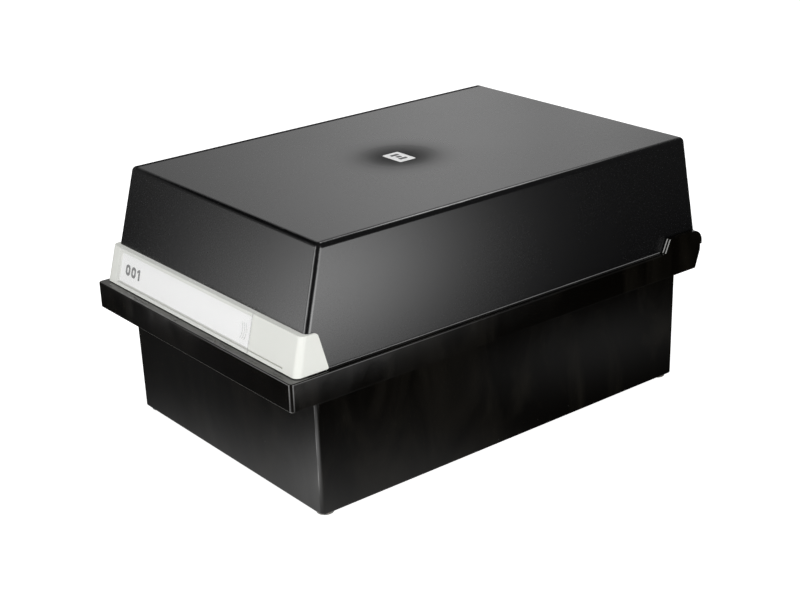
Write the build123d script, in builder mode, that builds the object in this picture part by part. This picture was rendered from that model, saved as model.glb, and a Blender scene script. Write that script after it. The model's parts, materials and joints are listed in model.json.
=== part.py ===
from build123d import *
import os
from math import cos, radians, tan

os.makedirs("parts", exist_ok=True)

# Archival card-index box: a deep tray with a wide rim, and a tapered lid hinged at the rear.
# +X is to the right, +Y to the rear, +Z up. The origin is at the middle of the footprint,
# on the surface that the feet stand on. All sizes are in mm.

# ---------------------------------------------------------------- driving dimensions
# Rim
rim_width = 240.0
rim_length = 368.7
rim_top = 104.4
rim_wall = 2.2
skirt_depth = 19.0
rim_corner = 2.6
rim_edge_round = 0.9
rear_break_height = 6.0      # the rear skirt leans inwards below this depth under the rim
rear_lean = 4.5

# Tray body
foot_height = 2.2
tray_wall = 2.2
floor_thickness = 2.5
tray_mouth_half_width = 112.4
tray_mouth_front = -161.5
tray_mouth_rear = 165.6
tray_draft = 0.36             # degrees
locating_rib = 3.0           # height of the tray wall above the rim
body_corner = 2.6
body_bottom_round = 1.2
cavity_corner = 1.3

# Lid
lid_gap = 0.3
lid_top = 185.1
lid_wall = 2.2
lid_low_half_width = 115.7
lid_low_front = -174.1
lid_low_rear = 183.3
lid_high_half_width = 112.3
lid_high_front = -153.0
lid_high_rear = 171.1
lid_corner = 3.7
lid_top_round = 3.6
dish_radius = 28.0
dish_depth = 0.8
pad_radius = 20.0            # thicker patch of the lid under the dish
pad_thickness = 1.4

# Hinge
axis_y = 176.7
axis_z = rim_top + 6.0
rod_radius = 2.0
running_gap = 0.05
knuckle_radius = 5.5
sweep_radius = 5.7           # largest radius of the lid behind and below the hinge axis
lug_width = 12.0
lug_places = (-62.0, 0.0, 62.0)
lug_gap = 0.5
notch_gap = 0.6
barrel_end_gap = 1.7         # from the barrel's ends to the lid's sides

# Ears at the rear ends of the rim's sides
ear_front = 145.9
ear_slope = 4.6
ear_height = 10.2
ear_wall = 3.4
ear_corner = 9.0
ear_foot = 4.0               # the ear's base runs this far ahead of its slope
ear_foot_round = 2.0
ear_brow_round = 2.5
blind_depth = 1.5
plug_radius = 3.0

# Badge
badge_x = 3.3
badge_y = -4.1
badge_width = 21.0
badge_length = 14.0
badge_corner = 1.0
badge_thickness = 1.2
badge_edge = 0.25
badge_recess = 0.8
badge_gap = 0.15

# Label holder, card and cover
holder_proud = 4.2
holder_side_proud = 1.6
holder_corner = 4.5
holder_low = rim_top + 0.7
holder_high = rim_top + 26.2
cheek_low_y = -153.2
cheek_high_y = -159.6
card_left = -101.0
card_right = 63.6
card_low = rim_top + 4.3
card_high = rim_top + 23.8
card_thickness = 0.3
card_gap = 0.3
pocket_depth = 0.8
cheek_high_round = 3.2
cheek_low_round = 1.0
cover_left = -103.0
cover_right = 65.0
cover_gap = 0.2
cover_thickness = 0.9
cover_lip = 0.8              # thickness of the lip that rests on the holder's top edge
cover_lip_depth = 2.4
cover_foot = 0.8             # from the holder's lower edge to the cover's
rib_depth = 0.9              # of the cover's rib into the groove
rib_width = 0.7
groove_right = 102.2
groove_z = rim_top + 3.4
groove_depth = 1.3
groove_width = 1.1
groove_end_gap = 0.5

# Feet
foot_radius = 6.4
foot_tip_radius = 5.8
foot_tip_round = 0.6
foot_inset = 7.8
stem_radius = 2.5
stem_length = 4.0
stem_end_gap = 0.2
boss_radius = 5.0
boss_height = 3.0

# Floor rails and card support
rail_x = 50.0
rail_front = -100.0
rail_rear = 142.0
rail_stem = 3.0
rail_cap = 8.0
rail_cap_thickness = 2.0
rail_height = 6.0
slide_gap = 0.3
carriage_y = 70.0
carriage_length = 44.0
carriage_width = 124.0
carriage_plate = 3.0
pivot_height = 9.0           # of the pin above the carriage plate's top
pin_radius = 1.5
pin_length = 72.0
plate_lean = 15.0            # degrees, at rest
plate_width = 204.0
plate_height = 120.0
plate_thickness = 2.4
plate_corner = 12.0
grip_width = 64.0
grip_height = 22.0
grip_drop = 24.0             # from the plate's top edge to the grip slot's middle
back_rib_x = 70.0
back_rib_width = 3.0
back_rib_depth = 4.0
back_rib_margin = 8.0
knuckle_width = 9.0
plate_knuckle_radius = 3.6
carriage_corner = 6.0
carriage_margin = 2.0        # hooks, guides and gussets stop this far inside the carriage's ends
hook_wall = 2.5
hook_drop = 4.4              # of the hook's wall below the rails' top
hook_toe = 2.4               # reach of the toe under the rail's lip
hook_toe_thickness = 2.1
guide_drop = 2.5
carriage_ear_x = 30.0
carriage_ear_width = 5.0
carriage_ear_radius = 4.5
carriage_ear_gap = 0.3
gusset_x = 39.0
gusset_width = 3.0
gusset_height = 14.0         # of the gusset's top above the pin
gusset_crest = 3.0
pin_chamfer = 0.3

# ---------------------------------------------------------------- derived dimensions
rim_half_width = rim_width / 2
rim_half_length = rim_length / 2
skirt_bottom = rim_top - skirt_depth
lid_bottom = rim_top + lid_gap
floor_top = foot_height + floor_thickness
lid_height = lid_top - lid_bottom
merge = 0.5                  # how far joined shapes run into each other


def drafted_block(low_z, low, high_z, high, radius):
    """A block between two rounded rectangles, each given as (half width, front, rear)."""
    with BuildPart() as block:
        for z, (half_width, front, rear) in ((low_z, low), (high_z, high)):
            with BuildSketch(Plane.XY.offset(z)):
                with Locations((0, (front + rear) / 2)):
                    RectangleRounded(2 * half_width, rear - front, radius)
        loft()
    return block.part


def tray_section(z, inset):
    """Half width, front and rear of the tray body at height z, moved in by inset."""
    shift = (rim_top - z) * tan(radians(tray_draft)) + inset
    return tray_mouth_half_width - shift, tray_mouth_front + shift, tray_mouth_rear - shift


def lid_section(z, inset):
    """Half width, front and rear of the lid at height z, moved in by inset."""
    share = (z - lid_bottom) / lid_height
    half_width = lid_low_half_width + share * (lid_high_half_width - lid_low_half_width)
    front = lid_low_front + share * (lid_high_front - lid_low_front)
    rear = lid_low_rear + share * (lid_high_rear - lid_low_rear)
    return half_width - inset, front + inset, rear - inset


def rim_outline(inset):
    """Points of the rim's side view, front to rear, moved in by inset and open below."""
    rear = rim_half_length - inset
    low = skirt_bottom - inset
    return (
        (-rear, low),
        (-rear, rim_top - inset),
        (rear, rim_top - inset),
        (rear, rim_top - rear_break_height),
        (rear - rear_lean, low),
    )


# ---------------------------------------------------------------- tray
rib_top = rim_top + locating_rib
body_outer = drafted_block(
    foot_height, tray_section(foot_height, 0), rib_top, tray_section(rib_top, 0), body_corner
)
body_cavity = drafted_block(
    floor_top,
    tray_section(floor_top, tray_wall),
    rib_top + 1,
    tray_section(rib_top + 1, tray_wall),
    cavity_corner,
)

with BuildPart() as rim:
    with BuildSketch(Plane.YZ):
        Polygon(*rim_outline(0), align=None)
    extrude(amount=rim_half_width, both=True)
    upright = rim.edges().filter_by(lambda edge: edge.length > 5 and abs(edge.tangent_at(0.5).Y) < 0.5)
    upright = upright.filter_by(lambda edge: abs(edge.tangent_at(0.5).X) < 0.1)
    fillet(upright, rim_corner)
    fillet(rim.faces().sort_by(Axis.Z)[-1].edges(), rim_edge_round)
    fillet(rim.faces().sort_by(Axis.Z)[0].edges(), rim_edge_round / 2)
    with BuildSketch(Plane.YZ):
        Polygon(*rim_outline(rim_wall), align=None)
    extrude(amount=rim_half_width - rim_wall, both=True, mode=Mode.SUBTRACT)

with BuildPart() as tray:
    add(body_outer)
    fillet(tray.faces().sort_by(Axis.Z)[0].edges(), body_bottom_round)
    add(rim.part)

    # Raised ears that hold the ends of the hinge rod.
    ear_top = rim_top + ear_height
    ear_base = rim_top - rim_wall / 2
    with BuildSketch(Plane.YZ.offset(rim_half_width - ear_wall)) as ear_outline:
        with BuildLine():
            Polyline(
                (ear_front - ear_foot, ear_base),
                (ear_front - ear_foot, rim_top),
                (ear_front, rim_top),
                (ear_front + ear_slope, ear_top),
                (rim_half_length, ear_top),
                (rim_half_length, ear_base),
                close=True,
            )
        make_face()
        fillet(ear_outline.vertices().sort_by_distance((ear_front, rim_top))[0], ear_foot_round)
        brow = (ear_front + ear_slope, ear_top)
        fillet(ear_outline.vertices().sort_by_distance(brow)[0], ear_brow_round)
        fillet(ear_outline.vertices().sort_by_distance((rim_half_length, ear_top))[0], ear_corner)
    ears = extrude(amount=ear_wall)
    mirror(ears, about=Plane.YZ)

    # Hinge lugs on the rear of the rim: round behind the axis, with a stem below and ahead of it.
    for lug_x in lug_places:
        with BuildSketch(Plane.YZ.offset(lug_x)):
            with Locations((axis_y, axis_z)):
                Circle(knuckle_radius)
                Rectangle(knuckle_radius, axis_z - ear_base, align=(Align.MAX, Align.MAX))
        extrude(amount=lug_width / 2, both=True)

    add(body_cavity, mode=Mode.SUBTRACT)

    # Bore of the hinge rod: blind in the right ear, open through the left one.
    bore_left = -rim_half_width - 1
    bore_right = rim_half_width - ear_wall + blind_depth
    with Locations(((bore_left + bore_right) / 2, axis_y, axis_z)):
        Cylinder(rod_radius, bore_right - bore_left, rotation=(0, 90, 0), mode=Mode.SUBTRACT)
    plug_length = ear_wall - blind_depth
    with Locations((-rim_half_width + plug_length / 2, axis_y, axis_z)):
        Cylinder(plug_radius, plug_length, rotation=(0, 90, 0), mode=Mode.SUBTRACT)

    # Two T-shaped rails on the floor for the card support.
    rail_top = floor_top + rail_height
    with BuildSketch(Plane.XZ.offset(-rail_rear)):
        with Locations((-rail_x, rail_top), (rail_x, rail_top)):
            Rectangle(rail_stem, rail_height + merge, align=(Align.CENTER, Align.MAX))
            Rectangle(rail_cap, rail_cap_thickness, align=(Align.CENTER, Align.MAX))
    extrude(amount=rail_rear - rail_front)

    # Bosses and blind holes for the stems of the feet.
    low_half_width, low_front, low_rear = tray_section(foot_height, foot_inset)
    foot_places = {
        "foot_front_left": (-low_half_width, low_front),
        "foot_front_right": (low_half_width, low_front),
        "foot_rear_left": (-low_half_width, low_rear),
        "foot_rear_right": (low_half_width, low_rear),
    }
    with Locations(Plane.XY.offset(floor_top)):
        with Locations(*foot_places.values()):
            Cylinder(boss_radius, boss_height, align=(Align.CENTER, Align.CENTER, Align.MIN))
    with Locations(Plane.XY.offset(foot_height)):
        with Locations(*foot_places.values()):
            Cylinder(stem_radius, stem_length, align=(Align.CENTER, Align.CENTER, Align.MIN), mode=Mode.SUBTRACT)
tray.part.label = "tray"
export_step(tray.part, "parts/tray.step")

# ---------------------------------------------------------------- lid
lid_outer = drafted_block(
    lid_bottom, lid_section(lid_bottom, 0), lid_top, lid_section(lid_top, 0), lid_corner
)
lid_cavity = drafted_block(
    lid_bottom - 1,
    lid_section(lid_bottom - 1, lid_wall),
    lid_top - lid_wall,
    lid_section(lid_top - lid_wall, lid_wall),
    lid_corner - lid_wall,
)
dish_sphere_radius = (dish_radius**2 + dish_depth**2) / (2 * dish_depth)
badge_floor = lid_top - dish_depth - badge_recess

with BuildPart() as lid:
    add(lid_outer)
    fillet(lid.faces().sort_by(Axis.Z)[-1].edges(), lid_top_round)
    add(lid_cavity, mode=Mode.SUBTRACT)

    # The lower rear edge is round about the hinge axis, so that it clears the rim as it turns.
    with BuildSketch(Plane.YZ):
        with Locations((axis_y, axis_z)):
            Rectangle(2 * sweep_radius, 2 * sweep_radius, align=(Align.MIN, Align.MAX))
            Circle(sweep_radius, mode=Mode.SUBTRACT)
    extrude(amount=rim_half_width, both=True, mode=Mode.SUBTRACT)

    # Knuckles: a barrel inside the rear edge, parted where the tray's lugs stand.
    with Locations((0, axis_y, axis_z)):
        Cylinder(knuckle_radius, 2 * (lid_low_half_width - barrel_end_gap), rotation=(0, 90, 0))
    with Locations(*[(lug_x, axis_y, axis_z) for lug_x in lug_places]):
        Cylinder(
            knuckle_radius + notch_gap,
            lug_width + 2 * lug_gap,
            rotation=(0, 90, 0),
            mode=Mode.SUBTRACT,
        )
    with Locations((0, axis_y, axis_z)):
        Cylinder(rod_radius + running_gap, rim_width, rotation=(0, 90, 0), mode=Mode.SUBTRACT)

    # Shallow dish in the top, with a recess for the badge at its middle and a pad beneath.
    with Locations((badge_x, badge_y, lid_top - lid_wall)):
        Cylinder(pad_radius, pad_thickness, align=(Align.CENTER, Align.CENTER, Align.MAX))
    with Locations((badge_x, badge_y, lid_top + dish_sphere_radius - dish_depth)):
        Sphere(dish_sphere_radius, mode=Mode.SUBTRACT)
    with BuildSketch(Plane.XY.offset(badge_floor)):
        with Locations((badge_x, badge_y)):
            RectangleRounded(
                badge_width + 2 * badge_gap,
                badge_length + 2 * badge_gap,
                badge_corner + badge_gap,
            )
    extrude(amount=lid_top - badge_floor, mode=Mode.SUBTRACT)
lid.part.label = "lid"
export_step(lid.part, "parts/lid.step")

# ---------------------------------------------------------------- badge
with BuildPart() as badge:
    with BuildSketch(Plane.XY.offset(badge_floor)):
        with Locations((badge_x, badge_y)):
            RectangleRounded(badge_width, badge_length, badge_corner)
    extrude(amount=badge_thickness)
    chamfer(badge.faces().sort_by(Axis.Z)[-1].edges(), badge_edge)
badge.part.label = "badge"
export_step(badge.part, "parts/badge.step")

# ---------------------------------------------------------------- hinge rod and plug
with BuildPart() as hinge_rod:
    rod_left = -rim_half_width + plug_length
    with Locations(((rod_left + bore_right) / 2, axis_y, axis_z)):
        Cylinder(rod_radius, bore_right - rod_left, rotation=(0, 90, 0))
    chamfer(hinge_rod.edges().filter_by(GeomType.CIRCLE), pin_chamfer)
hinge_rod.part.label = "hinge_rod"
export_step(hinge_rod.part, "parts/hinge_rod.step")

with BuildPart() as rod_plug:
    with Locations((-rim_half_width + plug_length / 2, axis_y, axis_z)):
        Cylinder(plug_radius, plug_length, rotation=(0, 90, 0))
    chamfer(rod_plug.faces().sort_by(Axis.X)[0].edges(), pin_chamfer)
rod_plug.part.label = "rod_plug"
export_step(rod_plug.part, "parts/rod_plug.step")


# ---------------------------------------------------------------- label holder, card and cover
def face_y(z):
    """Y of the label holder's front face at height z."""
    return lid_section(z, 0)[1] - holder_proud


def strip_outline(low, high, back, fore):
    """Side view of a strip along the holder's face, from back behind it to fore before it."""
    return (
        (face_y(low) + back, low),
        (face_y(low) - fore, low),
        (face_y(high) - fore, high),
        (face_y(high) + back, high),
    )


with BuildPart() as label_holder:
    for z, cheek_y in ((holder_low, cheek_low_y), (holder_high, cheek_high_y)):
        with BuildSketch(Plane.XY.offset(z)) as level:
            half_width = lid_section(z, 0)[0] + holder_side_proud
            with Locations((0, (face_y(z) + cheek_y) / 2)):
                Rectangle(2 * half_width, cheek_y - face_y(z))
            fillet(level.vertices().sort_by(Axis.Y)[:2], holder_corner)
    loft()
    cheek_ends = label_holder.faces().sort_by(Axis.Y)[-1].edges()
    fillet(cheek_ends.sort_by(Axis.Z)[-1], cheek_high_round)
    cheek_ends = label_holder.faces().sort_by(Axis.Y)[-1].edges()
    fillet(cheek_ends.sort_by(Axis.Z)[0], cheek_low_round)
    add(lid_outer, mode=Mode.SUBTRACT)

    # Pocket for the card, and the groove in which the cover's rib slides.
    with BuildSketch(Plane.YZ.offset(card_left - card_gap)):
        pocket = strip_outline(card_low - card_gap, card_high + card_gap, pocket_depth, merge)
        Polygon(*pocket, align=None)
    extrude(amount=card_right - card_left + 2 * card_gap, mode=Mode.SUBTRACT)
    with BuildSketch(Plane.YZ.offset(cover_left - groove_end_gap)):
        groove_low = groove_z - groove_width / 2
        groove = strip_outline(groove_low, groove_low + groove_width, groove_depth, merge)
        Polygon(*groove, align=None)
    extrude(amount=groove_right - cover_left + groove_end_gap, mode=Mode.SUBTRACT)
label_holder.part.label = "label_holder"
export_step(label_holder.part, "parts/label_holder.step")

with BuildPart() as label_card:
    with BuildSketch(Plane.YZ.offset(card_left)):
        card_face = pocket_depth - card_thickness
        Polygon(*strip_outline(card_low, card_high, pocket_depth, -card_face), align=None)
    extrude(amount=card_right - card_left)
label_card.part.label = "label_card"
export_step(label_card.part, "parts/label_card.step")

with BuildPart() as label_cover:
    cover_front = cover_gap + cover_thickness
    cover_low = holder_low + cover_foot
    lip_low = holder_high + cover_gap
    lip_high = lip_low + cover_lip
    rib_low = groove_z - rib_width / 2
    with BuildSketch(Plane.YZ.offset(cover_left)):
        Polygon(*strip_outline(cover_low, lip_high, -cover_gap, cover_front), align=None)
        Polygon(*strip_outline(lip_low, lip_high, cover_lip_depth, cover_front), align=None)
        Polygon(*strip_outline(rib_low, rib_low + rib_width, rib_depth, cover_front), align=None)
    extrude(amount=cover_right - cover_left)
label_cover.part.label = "label_cover"
export_step(label_cover.part, "parts/label_cover.step")

# ---------------------------------------------------------------- feet
for foot_name, (foot_x, foot_y) in foot_places.items():
    with BuildPart() as foot:
        with Locations((foot_x, foot_y, 0)):
            Cone(
                foot_tip_radius,
                foot_radius,
                foot_height,
                align=(Align.CENTER, Align.CENTER, Align.MIN),
            )
        fillet(foot.faces().sort_by(Axis.Z)[0].edges(), foot_tip_round)
        with Locations((foot_x, foot_y, foot_height - merge)):
            Cylinder(
                stem_radius,
                stem_length - stem_end_gap + merge,
                align=(Align.CENTER, Align.CENTER, Align.MIN),
            )
    foot.part.label = foot_name
    export_step(foot.part, f"parts/{foot_name}.step")

# ---------------------------------------------------------------- card support
carriage_low = rail_top + slide_gap
carriage_top = carriage_low + carriage_plate
pivot_z = carriage_top + pivot_height
plate_plane = Plane(
    origin=(0, carriage_y, pivot_z),
    x_dir=(1, 0, 0),
    z_dir=Vector(0, -1, 0).rotate(Axis.X, -plate_lean),
)


def gusset_y(z):
    """Y of the gussets' leaning faces at height z, just behind the plate's back."""
    behind = (plate_thickness / 2 + slide_gap) / cos(radians(plate_lean))
    return carriage_y + (z - pivot_z) * tan(radians(plate_lean)) + behind


with BuildPart() as support_carriage:
    with Locations((0, carriage_y, carriage_low)):
        Box(
            carriage_width,
            carriage_length,
            carriage_plate,
            align=(Align.CENTER, Align.CENTER, Align.MIN),
        )
    fillet(support_carriage.edges().filter_by(Axis.Z), carriage_corner)
    # Hooks that reach under the outer lips of the rails, and guides inside them.
    hook_top = carriage_low + merge
    hook_bottom = rail_top - hook_drop
    lip_x = rail_x + rail_cap / 2 + slide_gap
    guide_x = rail_x - rail_cap / 2 - slide_gap
    with BuildSketch(Plane.XZ.offset(-carriage_y)) as hooks:
        with Locations((lip_x, hook_bottom)):
            Rectangle(hook_wall, hook_top - hook_bottom, align=(Align.MIN, Align.MIN))
        with Locations((lip_x - hook_toe, hook_bottom)):
            Rectangle(hook_toe + merge, hook_toe_thickness, align=(Align.MIN, Align.MIN))
        with Locations((guide_x, hook_top)):
            Rectangle(hook_wall, merge + guide_drop, align=(Align.MAX, Align.MAX))
        mirror(about=Plane.YZ)
    extrude(amount=carriage_length / 2 - carriage_margin, both=True)
    # Ears for the pin, with gussets beside them that stop the plate at its lean.
    with BuildSketch(Plane.YZ.offset(carriage_ear_x)):
        with Locations((carriage_y, pivot_z)):
            Circle(carriage_ear_radius)
            Rectangle(
                2 * carriage_ear_radius,
                pivot_height + merge,
                align=(Align.CENTER, Align.MAX),
            )
    mirror(extrude(amount=carriage_ear_width), about=Plane.YZ)
    gusset_base = carriage_top - merge
    gusset_top = pivot_z + gusset_height
    with BuildSketch(Plane.YZ.offset(gusset_x)):
        Polygon(
            (gusset_y(gusset_base), gusset_base),
            (gusset_y(gusset_top), gusset_top),
            (gusset_y(gusset_top) + gusset_crest, gusset_top),
            (carriage_y + carriage_length / 2 - carriage_margin, gusset_base),
            align=None,
        )
    mirror(extrude(amount=gusset_width), about=Plane.YZ)
    with Locations((0, carriage_y, pivot_z)):
        Cylinder(pin_radius, carriage_width, rotation=(0, 90, 0), mode=Mode.SUBTRACT)
support_carriage.part.label = "support_carriage"
export_step(support_carriage.part, "parts/support_carriage.step")

with BuildPart() as support_pin:
    with Locations((0, carriage_y, pivot_z)):
        Cylinder(pin_radius, pin_length, rotation=(0, 90, 0))
    chamfer(support_pin.edges().filter_by(GeomType.CIRCLE), pin_chamfer)
support_pin.part.label = "support_pin"
export_step(support_pin.part, "parts/support_pin.step")

with BuildPart() as support_plate:
    with BuildSketch(plate_plane) as plate_outline:
        with Locations((0, plate_height / 2)):
            Rectangle(plate_width, plate_height)
        fillet(plate_outline.vertices().sort_by(Axis.Y)[-2:], plate_corner)
        with Locations((0, plate_height - grip_drop)):
            SlotOverall(grip_width, grip_height, mode=Mode.SUBTRACT)
    extrude(amount=plate_thickness / 2, both=True)
    # Two ribs up the back.
    with BuildSketch(plate_plane.offset(-plate_thickness / 2)):
        with Locations((-back_rib_x, plate_height / 2), (back_rib_x, plate_height / 2)):
            SlotOverall(plate_height - 2 * back_rib_margin, back_rib_width, rotation=90)
    extrude(amount=-back_rib_depth)
    # Knuckles inside the carriage's ears, and notches that clear those ears.
    knuckle_x = carriage_ear_x - carriage_ear_gap - knuckle_width / 2
    notch_x = carriage_ear_x + carriage_ear_width / 2
    with Locations((-knuckle_x, carriage_y, pivot_z), (knuckle_x, carriage_y, pivot_z)):
        Cylinder(plate_knuckle_radius, knuckle_width, rotation=(0, 90, 0))
    with Locations((-notch_x, carriage_y, pivot_z), (notch_x, carriage_y, pivot_z)):
        Cylinder(
            carriage_ear_radius + 2 * carriage_ear_gap,
            carriage_ear_width + 2 * carriage_ear_gap,
            rotation=(0, 90, 0),
            mode=Mode.SUBTRACT,
        )
    with Locations((0, carriage_y, pivot_z)):
        Cylinder(pin_radius + running_gap, plate_width, rotation=(0, 90, 0), mode=Mode.SUBTRACT)
support_plate.part.label = "support_plate"
export_step(support_plate.part, "parts/support_plate.step")
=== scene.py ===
import json
from functools import partial
from math import cos, pi, radians, sin

import bmesh
import bpy
from mathutils import Matrix, Vector


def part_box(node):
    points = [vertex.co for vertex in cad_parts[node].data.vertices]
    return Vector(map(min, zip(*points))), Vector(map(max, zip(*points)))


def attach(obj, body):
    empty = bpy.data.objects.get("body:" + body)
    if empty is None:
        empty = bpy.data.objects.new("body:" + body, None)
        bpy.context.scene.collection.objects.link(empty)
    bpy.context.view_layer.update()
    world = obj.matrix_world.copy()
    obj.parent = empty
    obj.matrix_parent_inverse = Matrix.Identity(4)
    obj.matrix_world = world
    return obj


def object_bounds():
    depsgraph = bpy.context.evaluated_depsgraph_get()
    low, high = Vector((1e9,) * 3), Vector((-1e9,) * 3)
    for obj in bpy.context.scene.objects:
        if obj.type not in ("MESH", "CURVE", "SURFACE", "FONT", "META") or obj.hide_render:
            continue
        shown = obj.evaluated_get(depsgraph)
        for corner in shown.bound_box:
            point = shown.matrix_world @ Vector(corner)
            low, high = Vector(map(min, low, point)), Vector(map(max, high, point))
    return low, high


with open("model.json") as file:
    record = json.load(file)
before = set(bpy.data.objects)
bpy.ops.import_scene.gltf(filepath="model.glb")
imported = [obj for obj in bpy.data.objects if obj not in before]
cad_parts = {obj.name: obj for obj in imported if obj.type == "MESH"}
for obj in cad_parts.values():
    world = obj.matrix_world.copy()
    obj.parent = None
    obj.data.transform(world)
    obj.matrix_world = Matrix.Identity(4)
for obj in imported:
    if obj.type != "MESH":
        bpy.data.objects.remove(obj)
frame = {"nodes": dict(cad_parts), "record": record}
nodes = frame["nodes"]
cad_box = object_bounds()
high_corner = cad_box[1]
scene = bpy.context.scene

# Plain white stays plain white, and the blacks stay deep.
scene.view_settings.view_transform = "Standard"


# ---------------------------------------------------------------- camera
def make_camera():
    """A camera at the right front corner, a little above the lid and slightly rolled."""
    azimuth, elevation, roll = radians(52.188), radians(21.782), radians(-2.091)
    distance = 1.13786
    target = Vector((0.00425, -0.00853, 0.07764))
    away = Vector((sin(azimuth) * cos(elevation), -cos(azimuth) * cos(elevation), sin(elevation)))
    right = Vector((cos(azimuth), sin(azimuth), 0))
    up = away.cross(right)
    rolled_right = cos(roll) * right + sin(roll) * up
    rolled_up = cos(roll) * up - sin(roll) * right
    data = bpy.data.cameras.new("camera")
    data.lens = 70.53
    data.clip_start = 0.05
    data.clip_end = 60
    camera = bpy.data.objects.new("camera", data)
    scene.collection.objects.link(camera)
    turn = Matrix((rolled_right, rolled_up, away)).transposed().to_4x4()
    camera.matrix_world = Matrix.Translation(target + distance * away) @ turn
    scene.camera = camera


make_camera()


# ---------------------------------------------------------------- node helpers
def new_material(name):
    """A material with only a Principled shader and its output."""
    material = bpy.data.materials.new(name)
    material.use_nodes = True
    return material, material.node_tree, material.node_tree.nodes["Principled BSDF"]


def math_node(tree, operation, first, second=None):
    """The output of a math node; each operand is a socket or a number."""
    node = tree.nodes.new("ShaderNodeMath")
    node.operation = operation
    for socket, value in zip(node.inputs, (first, second)):
        if isinstance(value, (int, float)):
            socket.default_value = value
        elif value is not None:
            tree.links.new(value, socket)
    return node.outputs[0]


def total_of(tree, *terms):
    """The sum of sockets and numbers."""
    total = terms[0]
    for term in terms[1:]:
        total = math_node(tree, "ADD", total, term)
    return total


def product_of(tree, *factors):
    """The product of sockets and numbers."""
    product = factors[0]
    for factor in factors[1:]:
        product = math_node(tree, "MULTIPLY", product, factor)
    return product


def bell(tree, vector):
    """A soft bell shape: 1 at the vector's zero, falling towards 0 at a length of about 2."""
    square = tree.nodes.new("ShaderNodeVectorMath")
    square.operation = "DOT_PRODUCT"
    tree.links.new(vector, square.inputs[0])
    tree.links.new(vector, square.inputs[1])
    return math_node(tree, "EXPONENT", math_node(tree, "MULTIPLY", square.outputs["Value"], -1.0))


def own_parts(tree, output):
    """The x, y and z of the object's own "Normal" or "Object" coordinates, which move with it."""
    coordinates = tree.nodes.new("ShaderNodeTexCoord")
    split = tree.nodes.new("ShaderNodeSeparateXYZ")
    tree.links.new(coordinates.outputs[output], split.inputs[0])
    return split.outputs


def place(tree, scale=(1, 1, 1), shift=(0, 0, 0)):
    """The object's own coordinates, scaled and shifted."""
    coordinates = tree.nodes.new("ShaderNodeTexCoord")
    mapping = tree.nodes.new("ShaderNodeMapping")
    mapping.inputs["Scale"].default_value = scale
    mapping.inputs["Location"].default_value = shift
    tree.links.new(coordinates.outputs["Object"], mapping.inputs["Vector"])
    return mapping.outputs[0]


def noise(tree, vector, scale, detail=2.0, roughness=0.5, distortion=0.0):
    """The value of a noise texture, around 0.5."""
    node = tree.nodes.new("ShaderNodeTexNoise")
    node.inputs["Scale"].default_value = scale
    node.inputs["Detail"].default_value = detail
    node.inputs["Roughness"].default_value = roughness
    node.inputs["Distortion"].default_value = distortion
    tree.links.new(vector, node.inputs["Vector"])
    return node.outputs["Fac"]


def remap(tree, value, low, high, to_low, to_high):
    """Linear map of value from low..high to to_low..to_high, held at both ends."""
    node = tree.nodes.new("ShaderNodeMapRange")
    for index, number in enumerate((low, high, to_low, to_high)):
        node.inputs[index + 1].default_value = number
    tree.links.new(value, node.inputs[0])
    return node.outputs[0]


def rise(tree, value, low, high):
    """0 up to low, 1 from high, and a straight ramp between."""
    return remap(tree, value, low, high, 0.0, 1.0)


def fall(tree, value, low, high):
    """1 up to low, 0 from high, and a straight ramp between."""
    return remap(tree, value, low, high, 1.0, 0.0)


def blend_colors(tree, factor, first, second):
    """Mix of two colours or sockets by a factor socket."""
    node = tree.nodes.new("ShaderNodeMix")
    node.data_type = "RGBA"
    tree.links.new(factor, node.inputs[0])
    for socket, value in ((node.inputs[6], first), (node.inputs[7], second)):
        if isinstance(value, tuple):
            socket.default_value = (*value, 1)
        else:
            tree.links.new(value, socket)
    return node.outputs[2]


def bump(tree, height, distance, strength=1.0, base=None):
    """A normal roughened by a height socket, on top of another normal if one is given."""
    node = tree.nodes.new("ShaderNodeBump")
    node.inputs["Strength"].default_value = strength
    node.inputs["Distance"].default_value = distance
    tree.links.new(height, node.inputs["Height"])
    if base is not None:
        tree.links.new(base, node.inputs["Normal"])
    return node.outputs[0]


def specks(tree, vector, scale, size, share):
    """1 inside sparse round specks, 0 elsewhere."""
    cells = tree.nodes.new("ShaderNodeTexVoronoi")
    cells.inputs["Scale"].default_value = scale
    tree.links.new(vector, cells.inputs["Vector"])
    near = math_node(tree, "LESS_THAN", cells.outputs["Distance"], size)
    split = tree.nodes.new("ShaderNodeSeparateColor")
    tree.links.new(cells.outputs["Color"], split.inputs[0])
    chosen = math_node(tree, "LESS_THAN", split.outputs[0], share)
    return math_node(tree, "MULTIPLY", near, chosen)


# ---------------------------------------------------------------- masks
# They read the object's own coordinates. The edge highlight, ledge, ear and outline masks stand for
# highlights and shadows seen there; the first three are painted highlight and painted reflection in the
# tray's colour.
SLOPE_PRODUCT = 0.27  # normal's y times z on the lid's sloping front, which is no edge
LEDGE_EDGE = 0.170  # the front ledge lies ahead of this, from the middle
LEDGE_LEVEL = 0.101
EAR_START = 0.1305  # the ears lie behind this
EAR_MIDDLE = 0.1183  # middle of an ear's front slope, from the middle of the box
EAR_INNER = 0.0006  # half the width between the two light lines
EAR_OUTER = 0.0010
OUTLINE_START = 0.1057  # the dull line lies outside this, on the left of the lid's top


def rounded_mask(tree):
    """1 on the rounded edges between the lid's faces."""
    across, along, high = own_parts(tree, "Normal")
    corner = math_node(tree, "ABSOLUTE", product_of(tree, across, along))
    side = math_node(tree, "ABSOLUTE", product_of(tree, across, high))
    front = math_node(tree, "ABSOLUTE", product_of(tree, along, high))
    front = math_node(tree, "MAXIMUM", math_node(tree, "SUBTRACT", front, SLOPE_PRODUCT), 0.0)
    return rise(tree, total_of(tree, corner, side, front), 0.06, 0.16)


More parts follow.
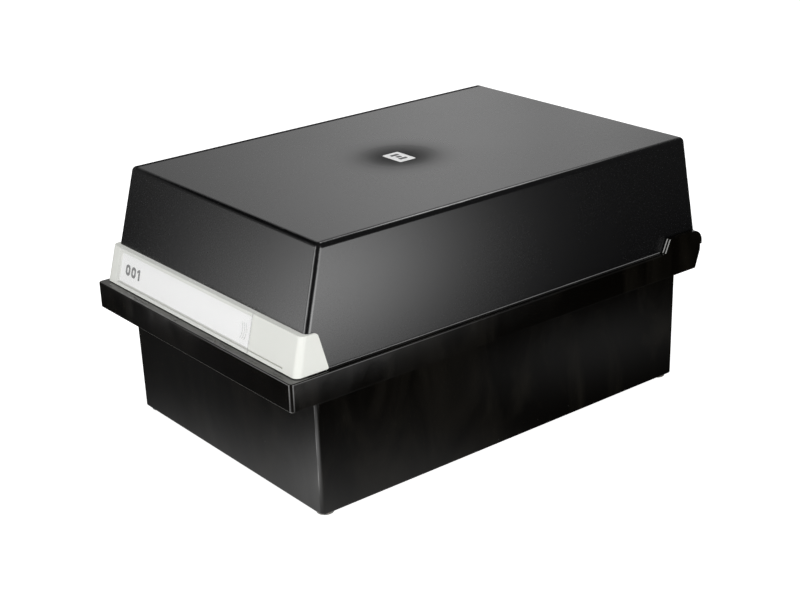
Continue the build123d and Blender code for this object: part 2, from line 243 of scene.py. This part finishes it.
def edge_highlight_mask(tree):
    """1 on edges that face forward and down, but not on undersides; there the tray's colour gets a painted
    highlight.
    """
    along, high = own_parts(tree, "Normal")[1:]
    sloping = product_of(tree, fall(tree, high, -0.25, -0.15), rise(tree, high, -0.92, -0.90))
    return product_of(tree, sloping, fall(tree, along, -0.5, -0.25))


def ledge_reflection_mask(tree, streaks):
    """Painted reflection: a light sheen on the front ledge of the rim, in streaks."""
    flat = rise(tree, own_parts(tree, "Normal")[2], 0.90, 0.97)
    along, high = own_parts(tree, "Object")[1:]
    on_ledge = rise(tree, high, LEDGE_LEVEL - 0.001, LEDGE_LEVEL + 0.001)
    ahead = fall(tree, along, -LEDGE_EDGE - 0.002, -LEDGE_EDGE + 0.002)
    streaked_reflection = remap(tree, streaks, 0.35, 0.65, 0.55, 1.2)
    return product_of(tree, flat, on_ledge, ahead, streaked_reflection)


def ear_mask(tree):
    """Painted highlight: fine light lines along both edges of the front slope of each rear ear."""
    backward, upward = own_parts(tree, "Normal")[1:]
    across, along = own_parts(tree, "Object")[:2]
    ahead = fall(tree, backward, -0.6, -0.5)
    rising = rise(tree, upward, 0.15, 0.25)
    behind = rise(tree, along, EAR_START - 0.0005, EAR_START + 0.0005)
    from_middle = math_node(tree, "SUBTRACT", math_node(tree, "ABSOLUTE", across), EAR_MIDDLE)
    edges = rise(tree, math_node(tree, "ABSOLUTE", from_middle), EAR_INNER, EAR_OUTER)
    return product_of(tree, ahead, rising, behind, edges)


def upward_mask(tree):
    """1 where the surface faces up."""
    return rise(tree, own_parts(tree, "Normal")[2], 0.5, 0.7)


def outline_mask(tree):
    """A narrow line along the left edge of the lid's top."""
    across = own_parts(tree, "Object")[0]
    left = fall(tree, across, -OUTLINE_START - 0.0003, -OUTLINE_START + 0.0003)
    return product_of(tree, upward_mask(tree), left)


# ---------------------------------------------------------------- lights, floor and tent
def glossy_only(item):
    """The item shows only in reflections, like a softbox outside the picture."""
    item.visible_camera = False
    item.visible_diffuse = False
    item.visible_transmission = False
    item.visible_volume_scatter = False
    item.visible_shadow = False


def make_floor():
    """A large pale floor with a glow of its own; it is left out of reflections and bounced light."""
    half = 8.0
    mesh = bpy.data.meshes.new("floor")
    mesh.from_pydata(
        [(-half, -half, 0), (half, -half, 0), (half, half, 0), (-half, half, 0)], [], [(0, 1, 2, 3)]
    )
    floor = bpy.data.objects.new("floor", mesh)
    scene.collection.objects.link(floor)
    material, tree, shader = new_material("floor_paper")
    shader.inputs["Base Color"].default_value = (0.5, 0.5, 0.5, 1)
    shader.inputs["Roughness"].default_value = 0.95
    shader.inputs["Specular IOR Level"].default_value = 0.0
    shader.inputs["Emission Color"].default_value = (1, 1, 1, 1)
    shader.inputs["Emission Strength"].default_value = 0.94
    material.cycles.emission_sampling = "NONE"
    mesh.materials.append(material)
    floor.visible_glossy = False
    floor.visible_diffuse = False


# Soft glows of the studio tent: strength, then centre and spread (x, y, z) in metres. The two dark ones
# take light away. The first eight are a least-squares fit to shades read off the photo, rounded; only
# three of their strengths and the place of the first were then changed. The others were set one by one.
# TENT_BASE went into that fit as a given value.
GLOWS = {
    "right_box": (6.4, (0.35, -0.02, 0.075), (0.04, 0.13, 0.065)),
    "left_front_post": (4.4, (-0.26, -0.39, 0.08), (0.04, 0.045, 0.28)),
    "rear_left_haze": (1.0, (-0.26, 0.36, 0.41), (0.20, 0.27, 0.38)),
    "left_wall_haze": (0.57, (-0.36, 0.03, 0.55), (0.04, 0.35, 0.49)),
    "floor_haze": (1.2, (0.01, -0.10, 0.06), (0.13, 0.08, 0.09)),
    "front_right_floor": (3.0, (0.13, -0.25, 0.01), (0.08, 0.07, 0.24)),
    "right_side_haze": (0.22, (0.19, 0.16, 0.21), (0.05, 0.12, 0.44)),
    "front_left_box": (4.8, (-0.18, -0.44, 0.10), (0.12, 0.055, 0.15)),
    "right_wall_band": (0.9, (0.34, 0.0, 0.125), (0.08, 0.10, 0.045)),
    "front_left_floor": (0.07, (-0.17, -0.25, 0.0), (0.12, 0.07, 0.04)),
    "dark_left_front": (-0.75, (-0.34, -0.19, 0.48), (0.06, 0.16, 0.13)),
    "dark_left_low": (-2.5, (-0.34, 0.20, 0.10), (0.06, 0.30, 0.06)),
    "front_corner_box": (9.0, (0.065, -0.46, 0.12), (0.07, 0.08, 0.18)),
    "right_corner_box": (9.0, (0.34, -0.15, 0.08), (0.035, 0.055, 0.13)),
    "corner_line_near": (4.6, (0.085, -0.21, 0.0), (0.014, 0.014, 0.03)),
    "corner_line_second": (4.0, (0.057, -0.25, 0.0), (0.02, 0.02, 0.03)),
    "corner_line_third": (4.2, (0.025, -0.315, 0.0), (0.025, 0.03, 0.03)),
    "corner_line_far": (6.5, (0.02, -0.40, 0.0), (0.035, 0.04, 0.03)),
    "ceiling_box": (9.0, (0.0, 0.30, 0.62), (0.08, 0.16, 0.06)),
}
TENT_BASE = 0.08
TENT_HALF_X, TENT_HALF_Y, TENT_HEIGHT = 0.34, 0.46, 0.62
TENT_FLOOR = -0.0005  # just below the feet
DIM_HEIGHT = 0.05  # up to about here, the cloth is dimmer
DIM_SHARE = 0.95


def make_tent():
    """A box-shaped light tent round the object that only glossy surfaces see."""
    mesh = bpy.data.meshes.new("tent")
    corners = [
        (x, y, z)
        for z in (TENT_FLOOR, TENT_HEIGHT)
        for y in (-TENT_HALF_Y, TENT_HALF_Y)
        for x in (-TENT_HALF_X, TENT_HALF_X)
    ]
    faces = [(0, 1, 3, 2), (4, 5, 7, 6), (0, 1, 5, 4), (2, 3, 7, 6), (0, 2, 6, 4), (1, 3, 7, 5)]
    mesh.from_pydata(corners, [], faces)
    tent = bpy.data.objects.new("tent", mesh)
    scene.collection.objects.link(tent)
    material = bpy.data.materials.new("tent_cloth")
    material.use_nodes = True
    tree = material.node_tree
    tree.nodes.clear()
    where = tree.nodes.new("ShaderNodeNewGeometry").outputs["Position"]
    split = tree.nodes.new("ShaderNodeSeparateXYZ")
    tree.links.new(where, split.inputs[0])
    low = math_node(tree, "DIVIDE", split.outputs[2], DIM_HEIGHT)
    dimming = math_node(tree, "EXPONENT", product_of(tree, low, low, -1.0))
    total = total_of(tree, product_of(tree, dimming, -DIM_SHARE * TENT_BASE), TENT_BASE)
    for strength, centre, spread in GLOWS.values():
        offset = tree.nodes.new("ShaderNodeVectorMath")
        offset.operation = "SUBTRACT"
        tree.links.new(where, offset.inputs[0])
        offset.inputs[1].default_value = centre
        scaled = tree.nodes.new("ShaderNodeVectorMath")
        scaled.operation = "DIVIDE"
        tree.links.new(offset.outputs[0], scaled.inputs[0])
        scaled.inputs[1].default_value = spread
        total = total_of(tree, total, product_of(tree, bell(tree, scaled.outputs[0]), strength))
    emission = tree.nodes.new("ShaderNodeEmission")
    tree.links.new(math_node(tree, "MAXIMUM", total, 0.0), emission.inputs["Strength"])
    output = tree.nodes.new("ShaderNodeOutputMaterial")
    tree.links.new(emission.outputs[0], output.inputs["Surface"])
    material.cycles.emission_sampling = "NONE"
    mesh.materials.append(material)
    glossy_only(tent)


def make_world():
    """An even white surround, which reflections do not show."""
    world = bpy.data.worlds.new("studio")
    world.use_nodes = True
    background = world.node_tree.nodes["Background"]
    background.inputs["Color"].default_value = (1, 1, 1, 1)
    background.inputs["Strength"].default_value = 0.35
    world.cycles_visibility.glossy = False
    scene.world = world


AIM_HEIGHT = 0.10


def make_soft_light(name, direction, distance, width, height, energy):
    """A broad soft light aimed at the object, which lights matt surfaces and shows in no reflection."""
    data = bpy.data.lights.new(name, "AREA")
    data.shape = "RECTANGLE"
    data.size, data.size_y = width, height
    data.energy = energy
    light = bpy.data.objects.new(name, data)
    direction = Vector(direction).normalized()
    light.location = distance * direction + Vector((0, 0, AIM_HEIGHT))
    light.rotation_euler = direction.to_track_quat("Z", "Y").to_euler()
    light.visible_glossy = False
    light.visible_camera = False
    scene.collection.objects.link(light)


make_floor()
make_tent()
make_world()
front_azimuth = radians(51)
front_direction = (sin(front_azimuth), -cos(front_azimuth), 0.12)
make_soft_light("front_light", front_direction, distance=3.0, width=2.6, height=1.0, energy=82.0)
make_soft_light("top_light", (0.10, -0.15, 1.0), distance=1.6, width=1.6, height=1.6, energy=15.0)


# ---------------------------------------------------------------- materials
BLACK_PLASTIC_IOR = 1.45
DULL_SPREAD = 0.0235  # of the dull patch round the badge
badge_low, badge_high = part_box("badge")
badge_middle = (badge_low + badge_high) / 2


def lid_plastic():
    """Satin black with a fine moulded grain, and a duller patch round the badge."""
    material, tree, shader = new_material("lid_plastic")
    grain = noise(tree, place(tree), 750)
    cloud = noise(tree, place(tree), 9)
    shade = rise(tree, grain, 0.35, 0.65)
    color = blend_colors(tree, shade, (0.0024, 0.0024, 0.0026), (0.0040, 0.0040, 0.0042))
    tree.links.new(color, shader.inputs["Base Color"])
    shift = [-value / DULL_SPREAD for value in (badge_middle.x, badge_middle.y, high_corner.z)]
    patch = bell(tree, place(tree, [1 / DULL_SPREAD] * 3, shift))
    dull = product_of(tree, patch, upward_mask(tree))
    rough = total_of(
        tree,
        remap(tree, cloud, 0.3, 0.7, 0.25, 0.28),
        product_of(tree, dull, 0.60),
        remap(tree, grain, 0.3, 0.7, -0.015, 0.015),
        product_of(tree, rounded_mask(tree), -0.13),
        product_of(tree, outline_mask(tree), 0.75),
    )
    tree.links.new(rough, shader.inputs["Roughness"])
    tree.links.new(bump(tree, grain, 0.00002, 0.4), shader.inputs["Normal"])
    shader.inputs["IOR"].default_value = BLACK_PLASTIC_IOR
    return material


def tray_plastic():
    """Glossy black polystyrene with slow waves, faint smears and a little dust, with painted highlights on
    some edges and a painted reflection on the front ledge.
    """
    material, tree, shader = new_material("tray_plastic")
    wave = noise(tree, place(tree, (1.0, 1.0, 0.55)), 16, distortion=0.8)
    ripple = noise(tree, place(tree, (1.0, 1.0, 0.6)), 55, distortion=1.5)
    smear = noise(tree, place(tree, (1.0, 1.0, 0.4)), 22, detail=3.0, roughness=0.55, distortion=1.2)
    dust = specks(tree, place(tree), scale=260, size=0.08, share=0.012)
    film = rise(tree, smear, 0.48, 0.75)
    color = blend_colors(tree, film, (0.0009, 0.0007, 0.0004), (0.0060, 0.0052, 0.0038))
    color = blend_colors(tree, dust, color, (0.06, 0.06, 0.055))
    # Painted highlight: light grey on the lower edges that face forward, for the light line they show.
    color = blend_colors(tree, edge_highlight_mask(tree), color, (0.20, 0.195, 0.18))
    # Painted reflection: light grey on the rim's front ledge, where the label holder shows in it.
    color = blend_colors(tree, ledge_reflection_mask(tree, smear), color, (0.070, 0.069, 0.065))
    # Painted highlight on the edges of the rear ears.
    color = blend_colors(tree, ear_mask(tree), color, (0.35, 0.35, 0.34))
    tree.links.new(color, shader.inputs["Base Color"])
    tree.links.new(remap(tree, smear, 0.3, 0.75, 0.07, 0.15), shader.inputs["Roughness"])
    slow = bump(tree, wave, 0.0012, 0.6)
    tree.links.new(bump(tree, ripple, 0.0001, 0.6, slow), shader.inputs["Normal"])
    shader.inputs["IOR"].default_value = BLACK_PLASTIC_IOR
    return material


def holder_plastic():
    """Off-white moulded plastic with a slight green cast."""
    material, tree, shader = new_material("holder_plastic")
    cloud = noise(tree, place(tree), 40, 3.0)
    color = blend_colors(tree, cloud, (0.668, 0.678, 0.640), (0.698, 0.706, 0.668))
    tree.links.new(color, shader.inputs["Base Color"])
    fine = noise(tree, place(tree), 1800, 2.0)
    tree.links.new(remap(tree, fine, 0.3, 0.7, 0.58, 0.70), shader.inputs["Roughness"])
    tree.links.new(bump(tree, fine, 0.00002, 0.4), shader.inputs["Normal"])
    return material


def card_paper():
    """Smooth white card with fine fibres."""
    material, tree, shader = new_material("card_paper")
    fibres = noise(tree, place(tree, (0.5, 1, 1)), 2600, 4.0, 0.6)
    color = blend_colors(tree, fibres, (0.87, 0.87, 0.87), (0.89, 0.89, 0.885))
    tree.links.new(color, shader.inputs["Base Color"])
    tree.links.new(bump(tree, fibres, 0.000006, 0.3), shader.inputs["Normal"])
    shader.inputs["Roughness"].default_value = 0.85
    return material


def clear_plastic():
    """Clear moulded cover, very slightly uneven."""
    material, tree, shader = new_material("clear_plastic")
    slow = noise(tree, place(tree), 60, 2.0)
    tree.links.new(remap(tree, slow, 0.3, 0.7, 0.03, 0.08), shader.inputs["Roughness"])
    tree.links.new(bump(tree, slow, 0.0002, 0.3), shader.inputs["Normal"])
    tint = blend_colors(tree, slow, (0.93, 0.935, 0.93), (0.95, 0.95, 0.95))
    tree.links.new(tint, shader.inputs["Base Color"])
    shader.inputs["Alpha"].default_value = 0.11
    return material


def shaded_clear_plastic():
    """Painted shade: greyer, half-clear plastic on the cover's free end and thumb ridges, for the darker
    look of the thick clear plastic there.
    """
    material, tree, shader = new_material("shaded_clear_plastic")
    slow = noise(tree, place(tree), 300, 2.0)
    color = blend_colors(tree, slow, (0.42, 0.43, 0.42), (0.52, 0.53, 0.52))
    tree.links.new(color, shader.inputs["Base Color"])
    tree.links.new(remap(tree, slow, 0.3, 0.7, 0.10, 0.16), shader.inputs["Roughness"])
    shader.inputs["Alpha"].default_value = 0.5
    return material


def badge_plastic():
    """Light grey satin plastic."""
    material, tree, shader = new_material("badge_plastic")
    fine = noise(tree, place(tree), 1500, 2.0)
    color = blend_colors(tree, fine, (0.72, 0.72, 0.72), (0.78, 0.78, 0.78))
    tree.links.new(color, shader.inputs["Base Color"])
    tree.links.new(remap(tree, fine, 0.3, 0.7, 0.35, 0.5), shader.inputs["Roughness"])
    return material


def print_ink():
    """Dark grey print, slightly uneven."""
    material, tree, shader = new_material("print_ink")
    fine = noise(tree, place(tree), 2500, 3.0)
    color = blend_colors(tree, fine, (0.045, 0.045, 0.045), (0.08, 0.08, 0.08))
    tree.links.new(color, shader.inputs["Base Color"])
    shader.inputs["Roughness"].default_value = 0.6
    return material


def drawn_steel():
    """Bright drawn wire with fine lines along X."""
    material, tree, shader = new_material("steel")
    lines = noise(tree, place(tree, (0.01, 1, 1)), 5000, 3.0)
    color = blend_colors(tree, lines, (0.50, 0.50, 0.50), (0.66, 0.66, 0.67))
    tree.links.new(color, shader.inputs["Base Color"])
    tree.links.new(remap(tree, lines, 0.3, 0.7, 0.22, 0.38), shader.inputs["Roughness"])
    shader.inputs["Metallic"].default_value = 1.0
    return material


def foot_rubber():
    """Soft, slightly translucent dark grey rubber."""
    material, tree, shader = new_material("foot_plastic")
    cloud = noise(tree, place(tree), 300, 3.0)
    color = blend_colors(tree, cloud, (0.11, 0.11, 0.10), (0.17, 0.17, 0.155))
    tree.links.new(color, shader.inputs["Base Color"])
    tree.links.new(remap(tree, cloud, 0.3, 0.7, 0.5, 0.65), shader.inputs["Roughness"])
    shader.inputs["Subsurface Weight"].default_value = 0.3
    shader.inputs["Subsurface Scale"].default_value = 0.003
    return material


def support_plastic():
    """Satin black plastic with an even grain."""
    material, tree, shader = new_material("support_plastic")
    grain = noise(tree, place(tree), 700, 3.0)
    color = blend_colors(tree, grain, (0.010, 0.010, 0.011), (0.018, 0.018, 0.019))
    tree.links.new(color, shader.inputs["Base Color"])
    tree.links.new(remap(tree, grain, 0.3, 0.7, 0.36, 0.46), shader.inputs["Roughness"])
    tree.links.new(bump(tree, grain, 0.00005, 0.5), shader.inputs["Normal"])
    return material


def bead_highlight_plastic():
    """Painted highlight: grey, patchy plastic of the lid's side beads, so that they show as fine light
    lines.
    """
    material, tree, shader = new_material("bead_edge_highlight")
    patches = noise(tree, place(tree, (1, 0.25, 1)), 90, 3.0)
    color = blend_colors(tree, patches, (0.06, 0.06, 0.06), (0.22, 0.22, 0.22))
    tree.links.new(color, shader.inputs["Base Color"])
    tree.links.new(remap(tree, patches, 0.3, 0.7, 0.25, 0.4), shader.inputs["Roughness"])
    return material


looks = {
    "tray_plastic": tray_plastic(),
    "lid_plastic": lid_plastic(),
    "holder_plastic": holder_plastic(),
    "card_paper": card_paper(),
    "badge_plastic": badge_plastic(),
    "clear_plastic": clear_plastic(),
    "steel": drawn_steel(),
    "foot_plastic": foot_rubber(),
    "support_plastic": support_plastic(),
}
for row in frame["record"]["subparts"]:
    node = nodes[row["node"]]
    node.data.materials.clear()
    node.data.materials.append(looks[row["material_slot"]])


# ---------------------------------------------------------------- small visual pieces
def face_frame(node_name, direction):
    """Largest flat face of a node that faces a direction: origin, across, along and outward."""
    node = nodes[node_name]
    world = node.matrix_world
    turn = world.to_3x3()
    direction = Vector(direction)
    groups = {}
    for face in node.data.polygons:
        normal = (turn @ face.normal).normalized()
        if normal.dot(direction) > 0.9:
            point = world @ face.center
            key = (tuple(round(c, 2) for c in normal), round(point.dot(normal), 4))
            groups.setdefault(key, []).append((face.area, face.index, normal))
    best = max(groups.values(), key=lambda rows: sum(row[0] for row in rows))
    normal = best[0][2]
    faces = [node.data.polygons[row[1]] for row in best]
    spots = [world @ node.data.vertices[vertex].co for face in faces for vertex in face.vertices]
    across = Vector((1, 0, 0))
    along = normal.cross(across).normalized()
    across_low = min(spot.dot(across) for spot in spots)
    along_low = min(spot.dot(along) for spot in spots)
    out = spots[0].dot(normal)
    origin = across_low * across + along_low * along + out * normal
    return origin, across, along, normal


def piece(name, mesh_maker, origin, axes, body, slot, material):
    """A mesh in a local frame (across, along, outward) that rides a body."""
    shape = bmesh.new()
    mesh_maker(shape)
    bmesh.ops.recalc_face_normals(shape, faces=shape.faces)
    mesh = bpy.data.meshes.new(name)
    shape.to_mesh(mesh)
    shape.free()
    item = bpy.data.objects.new(name, mesh)
    scene.collection.objects.link(item)
    turn = Matrix(axes).transposed().to_4x4()
    item.matrix_world = Matrix.Translation(origin) @ turn
    mesh.materials.append(material)
    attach(item, body)


def plate(shape, outline, low, high, hole=None):
    """A flat plate from an outline, optionally with a hole of as many points."""
    rings = []
    for height in (low, high):
        rings.append([shape.verts.new((x, y, height)) for x, y in outline])
    count = len(outline)
    if hole is None:
        shape.faces.new(rings[0])
        shape.faces.new(rings[1])
        for i in range(count):
            j = (i + 1) % count
            shape.faces.new((rings[0][i], rings[0][j], rings[1][j], rings[1][i]))
        return
    inner = []
    for height in (low, high):
        inner.append([shape.verts.new((x, y, height)) for x, y in hole])
    for i in range(count):
        j = (i + 1) % count
        shape.faces.new((rings[0][i], rings[0][j], rings[1][j], rings[1][i]))
        shape.faces.new((inner[0][i], inner[0][j], inner[1][j], inner[1][i]))
        for k in (0, 1):
            shape.faces.new((rings[k][i], rings[k][j], inner[k][j], inner[k][i]))


def round_box(x, y, width, height, corner, steps=6):
    """Outline of a rectangle with round corners, low corner at x, y."""
    points = []
    for cx, cy, start in (
        (x + width - corner, y + corner, -90),
        (x + width - corner, y + height - corner, 0),
        (x + corner, y + height - corner, 90),
        (x + corner, y + corner, 180),
    ):
        for i in range(steps + 1):
            angle = radians(start + 90 * i / steps)
            points.append((cx + corner * cos(angle), cy + corner * sin(angle)))
    return points


PRINT_THICKNESS = 0.00004
DIGIT_HEIGHT, DIGIT_WIDTH, DIGIT_STROKE, DIGIT_GAP = 0.0078, 0.0060, 0.0020, 0.0017
DIGIT_CORNER, DIGIT_INNER_CORNER = 0.0026, 0.0010


def make_number(shape):
    """The digits 0, 0 and 1 in a plain heavy hand."""
    step = DIGIT_WIDTH + DIGIT_GAP
    bowl_width, bowl_height = DIGIT_WIDTH - 2 * DIGIT_STROKE, DIGIT_HEIGHT - 2 * DIGIT_STROKE
    for index in range(2):
        x = index * step
        outer = round_box(x, 0, DIGIT_WIDTH, DIGIT_HEIGHT, DIGIT_CORNER)
        inner = round_box(x + DIGIT_STROKE, DIGIT_STROKE, bowl_width, bowl_height, DIGIT_INNER_CORNER)
        plate(shape, outer, 0, PRINT_THICKNESS, inner)
    flag_left = 2 * step
    stem_left = flag_left + 0.0017
    stem_right = stem_left + DIGIT_STROKE
    stem = [(stem_left, 0), (stem_right, 0), (stem_right, DIGIT_HEIGHT), (flag_left + 0.0020, DIGIT_HEIGHT)]
    flag = [(flag_left, DIGIT_HEIGHT - 0.0014), (flag_left, DIGIT_HEIGHT - 0.0031)]
    plate(shape, stem + flag + [(stem_left, DIGIT_HEIGHT - 0.0021)], 0, PRINT_THICKNESS)


BAR_WIDTH, BAR_STEP, BAR_CORNER, BAR_THICKNESS = 0.0030, 0.0048, 0.0005, 0.00012
BAR_RANGES = ((0.0, 0.0068), (0.0014, 0.0054), (0.0, 0.0068))


def make_bars(shape):
    """Three upright bars, the middle one shorter."""
    for index, (low, high) in enumerate(BAR_RANGES):
        outline = round_box(index * BAR_STEP, low, BAR_WIDTH, high - low, BAR_CORNER, 3)
        plate(shape, outline, 0, BAR_THICKNESS)


RIDGE_RADIUS, RIDGE_STEP, RIDGE_HALF_WIDTH, RIDGE_HEIGHT = 0.0095, 0.0022, 0.00016, 0.00018
RIDGE_HALF_ANGLE = 34  # degrees
RIDGE_STATIONS, RIDGE_SIDES = 16, 4


def make_grip(shape):
    """Three thin curved ridges that give the thumb a hold."""
    for index in range(3):
        middle = index * RIDGE_STEP - RIDGE_RADIUS
        rows = []
        for station in range(RIDGE_STATIONS + 1):
            angle = radians(-RIDGE_HALF_ANGLE + 2 * RIDGE_HALF_ANGLE * station / RIDGE_STATIONS)
            row = []
            for side in range(RIDGE_SIDES + 1):
                turn = pi * side / RIDGE_SIDES
                reach = RIDGE_RADIUS + RIDGE_HALF_WIDTH * cos(turn)
                spot = (middle + reach * cos(angle), reach * sin(angle), RIDGE_HEIGHT * sin(turn))
                row.append(shape.verts.new(spot))
            rows.append(row)
        for first, second in zip(rows, rows[1:]):
            for k in range(RIDGE_SIDES):
                shape.faces.new((first[k], first[k + 1], second[k + 1], second[k]))
            shape.faces.new((first[0], first[-1], second[-1], second[0]))
        shape.faces.new(rows[0])
        shape.faces.new(rows[-1])


BEAD_REACH, BEAD_LOW, BEAD_SHOULDER, BEAD_TOP = 0.00038, 0.00005, 0.00030, 0.00060
BEAD_SUNK = 0.00012  # how far the bead starts inside the lid's face
BEAD_END = 0.1440  # just ahead of the ears
BEAD_GAP = 0.0006  # from the label holder


def make_bead(shape, length):
    """A fine bead along the lid's lower side edge: slightly proud, with a sloping top."""
    outline = ((0.0, BEAD_LOW), (BEAD_REACH, BEAD_LOW), (BEAD_REACH, BEAD_SHOULDER), (0.0, BEAD_TOP))
    ends = [[shape.verts.new((x, y, z)) for x, z in outline] for y in (0.0, length)]
    count = len(outline)
    for i in range(count):
        j = (i + 1) % count
        shape.faces.new((ends[0][i], ends[0][j], ends[1][j], ends[1][i]))
    shape.faces.new(ends[0])
    shape.faces.new(ends[1])


def add_beads():
    """A bead on each side of the lid, from the label holder to just ahead of the ear."""
    lid_low, lid_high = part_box("lid")
    holder_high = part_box("label_holder")[1]
    bead_start = holder_high.y + BEAD_GAP
    # The beads carry a painted highlight along the lid's lower side edges.
    bead_highlight_look = bead_highlight_plastic()
    for name, side in (("lid_bead_left", -1), ("lid_bead_right", 1)):
        start = Vector((side * (lid_high.x - BEAD_SUNK), bead_start, lid_low.z))
        axes = (Vector((side, 0, 0)), Vector((0, 1, 0)), Vector((0, 0, 1)))
        maker = partial(make_bead, length=BEAD_END - bead_start)
        piece(name, maker, start, axes, "lid_body", "lid_plastic", bead_highlight_look)


END_WIDTH, END_MARGIN, END_CORNER = 0.00030, 0.0004, 0.0001
END_INSET = 0.00032  # from the cover's free edge to the far side of the line
END_SUNK, END_PROUD = 0.0002, 0.00006


def make_end_line(shape, tall):
    """The cover's end face, seen as a fine darker line along its free edge."""
    outline = round_box(0, END_MARGIN, END_WIDTH, tall - 2 * END_MARGIN, END_CORNER, 2)
    plate(shape, outline, -END_SUNK, END_PROUD)


NUMBER_PLACE = (0.0065, 0.0058)  # from the card's lower left corner
BARS_PLACE = (0.0040, 0.0031)  # from the badge's lower left corner
GRIP_FROM_END, GRIP_HEIGHT = 0.0085, 0.0130


def place_on(face, across_by, along_by):
    """A point on a face and the face's axes, for piece()."""
    origin, across, along, outward = face
    return origin + across_by * across + along_by * along, (across, along, outward)


def add_prints():
    """The number on the card and the bars on the badge."""
    ink = print_ink()
    card_spot = place_on(face_frame("label_card", (0, -1, 0)), *NUMBER_PLACE)
    piece("number", make_number, *card_spot, "lid_body", "card_paper", ink)
    badge_spot = place_on(face_frame("badge", (0, 0, 1)), *BARS_PLACE)
    piece("badge_bars", make_bars, *badge_spot, "lid_body", "badge_plastic", ink)


def add_cover_details():
    """The clear cover's free end and its thumb ridges."""
    # The cover's end line and thumb ridges get painted shade.
    look = shaded_clear_plastic()
    face = face_frame("label_cover", (0, -1, 0))
    cover_low, cover_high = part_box("label_cover")
    wide = cover_high.x - cover_low.x
    tall = (cover_high.z - cover_low.z) / face[2].z
    end_maker = partial(make_end_line, tall=tall)
    end_spot = place_on(face, wide - END_INSET, 0)
    piece("cover_end", end_maker, *end_spot, "cover_body", "clear_plastic", look)
    grip_spot = place_on(face, wide - GRIP_FROM_END, GRIP_HEIGHT)
    piece("cover_grip", make_grip, *grip_spot, "cover_body", "clear_plastic", look)


add_beads()
add_prints()
add_cover_details()
